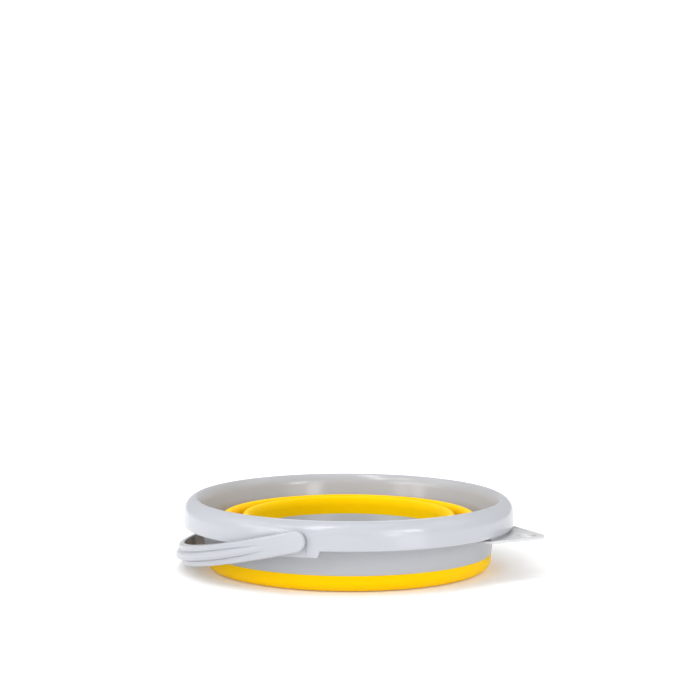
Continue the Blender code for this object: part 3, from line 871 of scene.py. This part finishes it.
cam_data = bpy.data.cameras.new("camera")
cam_data.sensor_width = 36.0
cam_data.lens = 138.107
cam_data.clip_start, cam_data.clip_end = 0.05, 60.0
cam = bpy.data.objects.new("camera", cam_data)
bpy.context.scene.collection.objects.link(cam)
cam.location = NEAR * 2.6 + UP * 0.4792
PITCH, YAW = math.radians(5.832), math.radians(-0.0140)
a = AZ + YAW
fwd = Vector((-math.sin(a) * math.cos(PITCH), math.cos(a) * math.cos(PITCH), -math.sin(PITCH)))
right = Vector((math.cos(a), math.sin(a), 0))
up = right.cross(fwd)
ROLL = math.radians(0.22)
right, up = right * math.cos(ROLL) + up * math.sin(ROLL), up * math.cos(ROLL) - right * math.sin(ROLL)
cam.rotation_mode = "QUATERNION"
cam.rotation_quaternion = Matrix((right, up, -fwd)).transposed().to_quaternion()
bpy.context.scene.camera = cam

# ------------------------------------------------------------------ plain pale floor
bm = bmesh.new()
bmesh.ops.create_grid(bm, x_segments=8, y_segments=8, size=6.0)
floor = add_object("floor", bm)
fm, fnt, fb = nodes_of("floor_white")
fb.inputs["Base Color"].default_value = (0.90, 0.90, 0.90, 1.0)
fb.inputs["Roughness"].default_value = 0.9
fb.inputs["Specular IOR Level"].default_value = 0.0
# a faint glow that grows away from the bucket keeps the floor as pale as the backdrop
reach = fnt.nodes.new("ShaderNodeVectorMath")
reach.operation = "LENGTH"
fnt.links.new(fnt.nodes.new("ShaderNodeTexCoord").outputs["Object"], reach.inputs[0])
fnt.links.new(ranged(fnt, reach.outputs["Value"], 0.10, 0.40, 0.14, 0.50), fb.inputs["Emission Color"])
fb.inputs["Emission Strength"].default_value = 1.0
floor.data.materials.append(fm)

# ------------------------------------------------------------------ soft studio light
scene = bpy.context.scene
scene.view_settings.view_transform = "Standard"
scene.view_settings.look = "None"
world = bpy.data.worlds.new("studio")
scene.world = world
world.use_nodes = True
wn = world.node_tree
bg = wn.nodes["Background"]
geo = wn.nodes.new("ShaderNodeTexCoord")
sep = wn.nodes.new("ShaderNodeSeparateXYZ")
wn.links.new(geo.outputs["Generated"], sep.inputs["Vector"])
sky = wn.nodes.new("ShaderNodeMapRange")
sky.inputs["From Min"].default_value = 0.0
sky.inputs["From Max"].default_value = 1.0
sky.inputs["To Min"].default_value = 0.67
sky.inputs["To Max"].default_value = 0.68
wn.links.new(sep.outputs["Z"], sky.inputs["Value"])
path = wn.nodes.new("ShaderNodeLightPath")
seen = wn.nodes.new("ShaderNodeMix")
seen.data_type = "FLOAT"
wn.links.new(path.outputs["Is Camera Ray"], seen.inputs["Factor"])
wn.links.new(sky.outputs["Result"], seen.inputs["A"])
seen.inputs["B"].default_value = 1.1
bg.inputs["Color"].default_value = (1.0, 1.0, 1.0, 1.0)
wn.links.new(seen.outputs["Result"], bg.inputs["Strength"])


def softbox(name, az, el, dist, width, height, power, colour=(1, 1, 1), spread=180):
    """Area light az degrees to the right of the camera and el above the floor, turned to the bucket's rim."""
    d = (RIGHT * math.sin(math.radians(az)) + NEAR * math.cos(math.radians(az))) * math.cos(math.radians(el)) \
        + UP * math.sin(math.radians(el))
    data = bpy.data.lights.new(name, "AREA")
    data.shape = "RECTANGLE"
    data.size, data.size_y = width, height
    data.energy = power
    data.color = colour
    data.spread = math.radians(spread)
    ob = bpy.data.objects.new(name, data)
    bpy.context.scene.collection.objects.link(ob)
    ob.location = d * dist + Vector((0, 0, 0.05))
    ob.rotation_mode = "QUATERNION"
    ob.rotation_quaternion = (-d).to_track_quat("-Z", "Y")
    ob.visible_camera = False
    return ob


# (name, azimuth, elevation, distance, width, height, power), fitted to the photograph's highlights and shading
for name, az, el, dist, wide, high, power in (
        ("right_low", 30, 8, 2.0, 0.42, 0.56, 3.4), ("right_low_2", 45, 8, 2.0, 0.53, 0.56, 1.35),
        ("right_mid", 30, 27, 2.0, 0.50, 0.62, 2.4), ("right_mid_2", 45, 27, 2.0, 0.40, 0.54, 4.0),
        ("left_low", -45, 8, 2.0, 0.40, 0.56, 2.0), ("left_low_2", -60, 8, 2.0, 0.40, 0.56, 2.5),
        ("left_mid", -45, 27, 2.0, 0.50, 0.62, 3.4), ("left_mid_2", -60, 27, 2.0, 0.50, 0.62, 3.25),
        ("left_mid_3", -75, 27, 2.0, 0.50, 0.62, 2.2),
        ("top_front", -30, 52, 2.0, 0.36, 0.40, 3.1), ("top_left", -45, 52, 2.0, 0.36, 0.40, 0.45),
        ("top_left_2", -60, 52, 2.0, 0.36, 0.40, 1.85), ("top_high", -30, 68, 2.0, 0.30, 0.40, 3.6),
        ("top_spot", -43, 65, 2.0, 0.24, 0.20, 1.0), ("over", 0, 88, 2.0, 1.00, 1.00, 2.6),
        ("back", 180, 40, 2.0, 0.90, 0.90, 3.15), ("side_high", -95, 45, 2.0, 0.90, 0.90, 2.3),
        ("side_right", 95, 45, 2.0, 0.90, 0.90, 1.7),
        ("near_card", 32.6, 21.8, 0.35, 0.09, 0.08, 0.030), ("near_card_low", 34.4, -5.1, 0.395, 0.112, 0.03, 0.020)):
    softbox(name, az, el, dist, wide, high, power)
